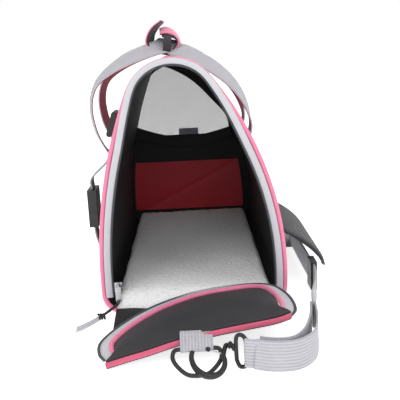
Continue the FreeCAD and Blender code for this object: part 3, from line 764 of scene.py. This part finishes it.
THREAD = cloth("thread", "#c9c9cd", pitch=0.0004)
tab_path = curve_mm([(0, -336.5, 30.6), (0, -340, 30.6), (0, -344, 28.5), (0, -350, 23.5),
                     (0, -353.5, 18.5), (0, -351, 16), (0, -348, 18.5), (0, -344, 22)], 70)
webbing("front_tab", tab_path, (1, 0, 0), "door_lower", "front_ring_tab", wide=33 * MM, thick=1.8 * MM)
tab_corners = [(-0.0135, -0.3445, 0.0302), (0.0135, -0.3445, 0.0302), (0.0135, -0.3485, 0.0268),
               (-0.0135, -0.3485, 0.0268), (-0.0135, -0.3445, 0.0302)]
stitches("front_tab_stitches", tab_corners, "door_lower", "grey_webbing")

# The front ring hangs from its tab to the ground, and the snap hook lies through it, bow to the
# front; its sprung wire gate has a small black ball. A barrel swivel carries the webbing's eye.
ring_path = curve_mm([(0, -350.8, 18.5), (16, -350.8, 18.5), (22.5, -352.5, 17.5), (24, -360, 13),
                      (19, -369, 8.5), (10, -377.5, 4.8), (0, -379, 4), (-10, -377.5, 4.8),
                      (-19, -369, 8.5), (-24, -360, 13), (-22.5, -352.5, 17.5), (-16, -350.8, 18.5)], 160)
sweep("front_ring_bar", ring_path, (0, 0.5, 1), round_profile(2.2 * MM), PLASTIC, "front_ring_body",
      "black_plastic", "front_ring", closed=True)


def on_bow(angle, grow=1.0):
    """Point on the snap hook's bow."""
    turn = math.radians(angle)
    centre, wide, tall = (np.array(v) for v in ((0.0105, -0.3650, 0.0135), (0.0160, -0.003, 0.001),
                                                (-0.002, 0.0195, 0.0078)))
    return centre + wide * math.cos(turn) * grow + tall * math.sin(turn) * grow


bow = [on_bow(a) for a in range(118, 390, 17)] + [(0.0285, -0.3520, 0.0200), (0.0315, -0.3500, 0.0212)]
bow = smooth_path(bow, 150)
girth = 2.3 * MM * (1 + 0.45 * np.exp(-((np.linspace(0, 1, 150) - 0.45) / 0.22) ** 2))


def tapered(name, path, across, radii, material, body, slot, *nodes, count=18):
    """Round bar of changing radius along a path, with rounded ends."""
    reach = lengths(path)
    made = sweep(name, path, across, round_profile(1.0, count), material, body, slot, *nodes)
    for k, vertex in enumerate(made.data.vertices):
        row = k // count
        end = min(reach[row], reach[-1] - reach[row]) / radii[row]
        share = radii[row] * (math.sqrt(max(0.02, 1 - (1 - end) ** 2)) if end < 1 else 1)
        vertex.co = Vector(path[row]) + (vertex.co - Vector(path[row])) * share
    return made


tapered("snap_hook", bow, (0.1, 0.35, -1), girth, PLASTIC, "front_hook_body", "black_plastic", "front_hook")
wire = smooth_path([on_bow(20, 0.95), on_bow(60, 0.62), on_bow(105, 0.80), on_bow(118, 0.98)], 50)
tapered("snap_gate", wire, (0, 0.3, 1), np.full(50, 0.75 * MM), STEEL, "front_gate_body", "steel",
        "front_hook_gate", count=10)
ball = smooth_path([on_bow(66, 0.60), on_bow(92, 0.70)], 24)
tapered("snap_gate_ball", ball, (0, 0.3, 1), np.full(24, 2.6 * MM), PLASTIC, "front_gate_body",
        "black_plastic")
barrel = curve_mm([(30.5, -350.5, 21), (34.5, -353, 20.8), (39, -358, 20)], 60)
marks = np.linspace(0, 1, 60)
barrel_girth = (3.3 + 1.1 * np.clip(np.sin(marks * 9.4), -0.6, 1)) * MM
tapered("swivel_barrel", barrel, (0, 0, 1), barrel_girth, PLASTIC, "front_swivel_body", "black_plastic",
        "front_swivel")
eye = curve_mm([(38.5, -358.5, 20), (38.8, -359, 31), (41.5, -360.8, 35.5), (45.5, -363.2, 35),
                (47.8, -364.6, 30), (48, -364.8, 18), (47.8, -364.6, 6.5), (45.5, -363.2, 2.8),
                (41.5, -360.8, 2.6), (38.8, -359, 8)], 140)
sweep("swivel_eye", eye, (0.5, 0.85, 0), round_profile(2.1 * MM), PLASTIC, "front_swivel_body",
      "black_plastic", closed=True)
end_fold = curve_mm([(50, -364, 18.5), (47, -365.5, 18.5), (50, -366.8, 18.5), (60, -369, 18)], 40)
webbing("strap_front_end", end_fold, (0, 0, 1), "front_swivel_body", "front_strap_end", wide=30.5 * MM)
rear_low, rear_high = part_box("rear_ring_tab")
rear_tab = smooth_path([(0, BACK - 6 * MM, rear_high[2]), (0, BACK + 1.5 * MM, rear_high[2] - 6 * MM),
                        (0, BACK + 5.5 * MM, rear_low[2] + 6 * MM), (0, rear_high[1], rear_low[2]),
                        (0, BACK + 1.5 * MM, rear_low[2] + 2 * MM),
                        (0, BACK - 6 * MM, rear_high[2] - 8 * MM)], 60)
webbing("rear_tab", rear_tab, (1, 0, 0), "bag", "rear_ring_tab", wide=34 * MM, thick=1.6 * MM)
recolour(PLASTIC, "rear_ring", "rear_hook", "rear_swivel", "strap_adjuster", "ladder_lock",
         "buckle_socket", "buckle_plug")
recolour(STEEL, "rear_hook_gate", "zip_slider", "zip_puller")

# ---- Shoulder strap ----
# Ribbed grey webbing stands on its edge in a loop in front of the door, doubled, and runs back
# beside the bag; behind the bag it lies flat and climbs to the rear ring.
STANDING = (0, 0, 1)
outer_line = curve_mm([(56, -369, 18.5), (74, -373.5, 17.5), (98, -371, 17), (117, -352, 17),
                       (126.5, -318, 17.5), (131, -281, 19)], 140)
webbing("strap_front_outer", outer_line, (0, 0.10, 1), "bag", "strap_outer_ply")
inner_line = curve_mm([(60, -364, 19.5), (78, -365.5, 17.5), (95, -361.5, 17), (109, -343, 17),
                       (120, -312, 17.5), (126.2, -281, 19)], 140)
webbing("strap_front_inner", inner_line, STANDING, "bag", "strap_inner_ply")
side_line = curve_mm([(128.5, -284, 19), (133, -254, 19), (146, -205, 19), (152, -160, 19),
                      (152, -50, 19), (152, 48, 19)], 220)
webbing("strap_side", side_line, STANDING, "bag", "strap_side_run")
for node, across, turn_axis in (("strap_rear_run", (1, 0, 0), 1), ("strap_rear_cross", (0, 1, 0), 0)):
    low, high = boxed(node)
    mid = (low + high) / 2
    ends = [mid.copy(), mid.copy()]
    ends[0][turn_axis], ends[1][turn_axis] = low[turn_axis], high[turn_axis]
    line = ends[0] + np.linspace(0, 1, 160)[:, None] * (ends[1] - ends[0])
    line[:, 2] += np.abs(wavy(line, 0.05, 0.0006)) * (1 if turn_axis else 0.2)
    webbing(node + "_web", line, across, "bag", node, thick=1.8 * MM)
drop_low, drop_high = boxed("strap_rear_drop")
drop_line = smooth_path([(0, drop_low[1] + 1 * MM, drop_high[2]), (0, drop_low[1] + 1 * MM, 0.036),
                         (0, drop_low[1] + 8 * MM, 0.013), (0, drop_low[1] + 24 * MM, 0.0025),
                         (0, drop_high[1] - 1 * MM, 0.0016)], 100)
webbing("strap_drop", drop_line, (1, 0, 0), "bag", "strap_rear_drop", thick=1.8 * MM)
recolour(cloth("strap_end_webbing", "#98979d", own_uv=False, pitch=0.0016), "rear_strap_end")

# ---- Carrying handles ----
# Two loops of webbing rise from patches sewn to the walls and meet over the roof. Each loop has a
# dark red sheet on its inner face, which is painted shade and painted pink reflection from the walls on the
# webbing's underside, and tilts its face to the front where it nears the grip.
def mirrored_loop(keys, tilts, count=150):
    """A loop from half of it: the same control points again on the far side of the middle."""
    whole = list(keys) + [(x, -y, z) for x, y, z in keys[-2::-1]]
    turned = list(tilts) + [(x, -y, z) for x, y, z in tilts[-2::-1]]
    path = smooth_path(whole, 4000)
    across = smooth_path([np.array(t) for t in turned], 4000)
    marks = np.linspace(0, 1, len(whole))
    reach = lengths(path) / lengths(path)[-1]
    at = [reach[np.argmin(np.linalg.norm(path - np.array(p), axis=1))] for p in whole]
    even = np.linspace(0, 1, count)
    steps = np.interp(even, at, marks)
    line = np.stack([np.interp(even, reach, path[:, k]) for k in range(3)], axis=1)
    lean = np.stack([np.interp(steps, marks, np.array(turned)[:, k]) for k in range(3)], axis=1)
    for _ in range(6):
        lean[1:-1] = (lean[:-2] + 2 * lean[1:-1] + lean[2:]) / 4
    return line, lean


LEFT_KEYS = [(-100.5, -60, 166), (-113, -60, 180), (-124.5, -60, 205), (-128.5, -60, 237),
             (-121.5, -58, 263), (-104, -55, 281), (-75, -50, 297.5), (-43, -44, 308.5),
             (-27, -32, 313), (-20.5, -14, 318.5), (-19.5, 0, 320.5)]
LEFT_TILTS = [(-0.1, 1, 0), (-0.22, 1, 0), (-0.22, 1, 0), (-0.2, 1, 0.02), (-0.15, 0.98, 0.15),
              (-0.1, 0.9, 0.35), (0, 0.83, 0.56), (-0.1, 0.83, 0.56), (-0.6, 0.6, 0.45),
              (-0.95, 0.1, 0.25), (-1, 0, 0.1)]
RIGHT_KEYS = [(84, -60, 190), (86.2, -60, 206), (82, -60, 226), (73.5, -60, 245), (62, -60, 261),
              (48, -60, 274.5), (31, -58, 287), (11, -55, 298.5), (-4, -47, 305), (-15, -30, 310),
              (-18.5, -12, 313.5), (-19, 0, 314)]
RIGHT_TILTS = [(0, 1, 0), (0, 1, 0), (0.16, 1, 0.04), (0.26, 0.95, 0.14), (0.32, 0.9, 0.26),
               (0.34, 0.86, 0.38), (0.3, 0.84, 0.5), (0.22, 0.84, 0.56), (0.45, 0.75, 0.45),
               (0.8, 0.4, 0.2), (0.98, 0.1, 0.1), (1, 0, 0)]
for side, keys, tilts, inward in (("left", LEFT_KEYS, LEFT_TILTS, -1),
                                  ("right", RIGHT_KEYS, RIGHT_TILTS, 1)):
    line, lean = mirrored_loop(np.array(keys) * MM, tilts)
    webbing(side + "_handle_web", line, lean, side + "_handle_body", side + "_handle")
    # This dark red sheet on the loop's inner face is painted shade and painted pink reflection on the grey
    # webbing's underside.
    painted_reflection_profile = flat_profile(28 * MM, 0.8 * MM) + np.array([0, inward * 1.35 * MM])
    sweep(side + "_handle_backing", line, lean, painted_reflection_profile, PAINTED_PINK_REFLECTION, side + "_handle_body", "red_nylon")
    side_low, side_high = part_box(side + "_handle_patches")
    heights = np.linspace(side_low[2], side_high[2] + 3 * MM, 30)
    for place, y in (("near", -60 * MM), ("far", 60 * MM)):
        wall = [(width_at(-1.6 * MM, z)[0 if side == "left" else 1], y, z) for z in heights]
        patch = smooth_path(wall, 40)
        nodes = (side + "_handle_patches",) if place == "near" else ()
        webbing("%s_%s_patch" % (side, place), patch, (0, 1, 0), "bag", *nodes)
        out = (-1.15 if side == "left" else 1.15) * MM
        box_x = [patch[k][0] + out for k in (4, 30)]
        box_z = [patch[k][2] for k in (4, 30)]
        corners = [(box_x[0], y - 12 * MM, box_z[0]), (box_x[0], y + 12 * MM, box_z[0]),
                   (box_x[1], y + 12 * MM, box_z[1]), (box_x[1], y - 12 * MM, box_z[1]),
                   (box_x[0], y - 12 * MM, box_z[0]), (box_x[1], y + 12 * MM, box_z[1])]
        stitches("%s_%s_stitches" % (side, place), corners, "bag", "grey_webbing")

# ---- Grip wrap ----
# A padded sleeve, pink outside and black inside, is wrapped round both loops and stands half
# open: its left flap flares at the front, and its right flap lies back over the webbing.
def sleeve(sign, count=46):
    """Cross section of the sleeve at distance sign (0 in the middle, 1 at either end)."""
    middle = [(-27, 346), (-35, 338), (-41, 328), (-42, 316), (-37, 306), (-26, 302), (-15, 304),
              (-8, 311), (-7, 321), (-13, 331), (-23, 336.5), (-32, 335)]
    end = [(-29, 345), (-42, 337), (-50, 326), (-51.5, 316), (-43, 309), (-30, 305), (-17, 307),
           (-9.5, 312), (-8, 318), (-13, 323.5), (-22, 326), (-31, 326)]
    keys = [((a[0] * (1 - sign) + b[0] * sign) * MM, 0, (a[1] * (1 - sign) + b[1] * sign) * MM)
            for a, b in zip(middle, end)]
    return smooth_path(keys, count)


rows = []
for y in np.linspace(-1, 1, 40):
    cut = sleeve(min(1, abs(y + 0.15) ** 1.6))
    cut[:, 1] = y * 41 * MM + 5 * MM * np.linspace(1, 0, len(cut)) ** 2 * (1 if y < 0 else -1)
    rows.append(cut)
rows = np.stack(rows)
slope_a, slope_b = np.gradient(rows, axis=0), np.gradient(rows, axis=1)
out = np.cross(slope_b, slope_a)
out /= np.linalg.norm(out, axis=2)[:, :, None]
if (out[20, 12] * (rows[20, 12] - np.array([-0.025, 0, 0.32]))).sum() > 0:
    out = -out


def skin(name, grid, lift, thickness, material, slot, *nodes):
    """Closed sheet of some thickness, lifted off a grid of points along its normals."""
    top, under = grid + out * (lift + thickness), grid + out * lift
    count, columns = grid.shape[:2]
    points = np.concatenate([top.reshape(-1, 3), under.reshape(-1, 3)])
    faces = lattice(count, columns)
    base = count * columns
    faces += [tuple(base + k for k in f[::-1]) for f in lattice(count, columns)]
    rim = [j for j in range(columns)] + [i * columns + columns - 1 for i in range(1, count)] + \
          [(count - 1) * columns + j for j in range(columns - 2, -1, -1)] + \
          [i * columns for i in range(count - 2, 0, -1)]
    faces += [(a, base + a, base + b, b) for a, b in zip(rim, rim[1:] + rim[:1])]
    v, u = np.meshgrid(np.arange(columns) * 2.6 * MM, np.arange(count) * 2.1 * MM)
    uv = np.stack([u, v], axis=2).reshape(-1, 2)
    return finish_mesh(name, points, faces, np.concatenate([uv, uv]), material, "wrap_body", slot, *nodes)


skin("wrap_outer", rows, 0.2 * MM, 1.6 * MM, PINK, "pink_fabric", "handle_wrap")
skin("wrap_lining", rows, -1.4 * MM, 1.5 * MM, WRAP_BLACK, "pad_fabric")
strap_down = curve_mm([(-24.5, -43.5, 300.5), (-22.5, -47.5, 309), (-21.5, -47, 319),
                       (-20, -40, 326.5)], 40)
sweep("wrap_tie", strap_down, (1, 0, 0), flat_profile(11 * MM, 1.4 * MM), WRAP_BLACK, "wrap_body",
      "pad_fabric")

# ---- Shoulder pad ----
# A padded sleeve on the side run leans against the wall; its lower edge is bound in black tape.
pad_low, pad_high = boxed("shoulder_pad")
cut_line = curve_mm([(174.5, 0, 18), (169, 0, 30), (158, 0, 43), (142, 0, 56), (126, 0, 66),
                     (118.5, 0, 70)], 40)
length = pad_high[1] - pad_low[1]
ROUNDED = 0.09
columns, rings = 64, []
ends = np.linspace(0, 1, columns)
for v in ends:
    from_end = min(v, 1 - v)
    nose = math.sqrt(max(0.0, 1 - (1 - from_end / ROUNDED) ** 2)) if from_end < ROUNDED else 1
    centre = cut_line[len(cut_line) // 2]
    line = centre + (cut_line - centre) * (0.80 + 0.20 * nose)
    way = np.gradient(line, axis=0)
    side = np.stack([way[:, 2], np.zeros(len(way)), -way[:, 0]], axis=1)
    side /= np.linalg.norm(side, axis=1)[:, None]
    s = np.linspace(0, 1, len(line))
    crown = (0.25 + 0.75 * np.clip(np.sin(np.pi * s), 0, 1) ** 0.45) * (0.3 + 0.7 * nose)
    quilt = 1 - 0.16 * np.exp(-((np.sin(5 * math.pi * v)) / 0.16) ** 2)
    half = 3.9 * MM * crown * quilt
    up = line + side * half[:, None]
    down = line - side * half[:, None]
    ring = np.vstack([up, down[::-1]])
    ring[:, 1] = pad_low[1] - 8 * MM * (1 - v) + length * v
    rings.append(ring)
rings = np.stack(rings)
count = rings.shape[1]
faces = lattice(columns, count, wrap=True)
faces += caps(columns, count)
uvs = uv_grid(ends * length, np.arange(count) * 2.3 * MM)
pad = finish_mesh("shoulder_pad_cloth", rings.reshape(-1, 3), faces, uvs, PAD_CLOTH,
                  "pad_body", "pad_fabric", "shoulder_pad")
edge = np.stack([(rings[:, one] + rings[:, other]) * 0.5
                 for one, other in ((0, -1), (count // 2 - 1, count // 2))])
for k, name in enumerate(("pad_binding_low", "pad_binding_high")):
    sweep(name, smooth_path(edge[k][::3], 160), (1, 0, 0), round_profile(1.7 * MM, 12), CHARCOAL, "pad_body",
          "pad_fabric")

# ---- Side buckle and its webs ----
upper_low, upper_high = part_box("buckle_upper_web")
lower_low, lower_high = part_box("buckle_lower_web")
mid_y = (upper_low[1] + upper_high[1]) / 2
hang_x = (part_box("buckle_socket")[0][0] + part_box("buckle_socket")[1][0]) / 2
wall = lambda z, off: (width_at(-off, z)[0], mid_y, z)
upper = smooth_path([(hang_x, mid_y, upper_low[2]), (hang_x + 1 * MM, mid_y, upper_low[2] + 14 * MM),
                     wall(0.178, 4 * MM), wall(0.205, 2 * MM), wall(upper_high[2], 1.4 * MM)], 80)
webbing("buckle_upper", upper, (0, 1, 0), "bag", "buckle_upper_web", wide=23.5 * MM, thick=1.7 * MM)
lower = smooth_path([(hang_x, mid_y, lower_high[2]), (hang_x + 1 * MM, mid_y, lower_high[2] - 12 * MM),
                     wall(0.066, 3.5 * MM), wall(lower_low[2], 1.4 * MM)], 60)
webbing("buckle_lower", lower, (0, 1, 0), "buckle_plug_body", "buckle_lower_web", wide=23.5 * MM,
        thick=1.7 * MM)

# ---- Puller's ribbon ----
# A grey ribbon is knotted through the puller with black cord and trails forward to the left.
pull_low, pull_high = boxed("pull_ribbon")
loop_end = np.array([(pull_low[0] + pull_high[0]) / 2, pull_low[1] + 0.6 * MM, pull_low[2] + 16.5 * MM])
knot = np.array([-0.1100, -0.2345, 0.0085])
cord = smooth_path([loop_end, loop_end + (-2 * MM, -3 * MM, -4 * MM), (loop_end + knot) / 2 + (0, 0, -2 * MM),
                    knot], 60)
for k, shift in enumerate((-1.2 * MM, 1.2 * MM)):
    sweep("pull_cord_%d" % k, cord + np.array([shift, 0, 0]), (0, 0, 1), round_profile(1.0 * MM, 10),
          PLASTIC, "puller_body", "black_plastic")
turn = np.linspace(0, 2 * math.pi * 2.6, 110)
wind = knot + np.stack([np.linspace(-4, 4, 110) * MM, 2.4 * MM * np.sin(turn),
                        2.8 * MM * np.cos(turn)], axis=1)
sweep("ribbon_knot", wind, (1, 0, 0), round_profile(1.25 * MM, 10), PLASTIC, "puller_body", "black_plastic")
tail = smooth_path([knot, knot + (-5 * MM, -4 * MM, -2 * MM), knot + (-13 * MM, -14 * MM, -3 * MM),
                    knot + (-21 * MM, -22 * MM, -3.6 * MM), knot + (-25 * MM, -27 * MM, -3 * MM)], 60)
webbing("ribbon_tail", tail, (0.25, 0.1, 1), "puller_body", "pull_ribbon", wide=7 * MM, thick=0.9 * MM)
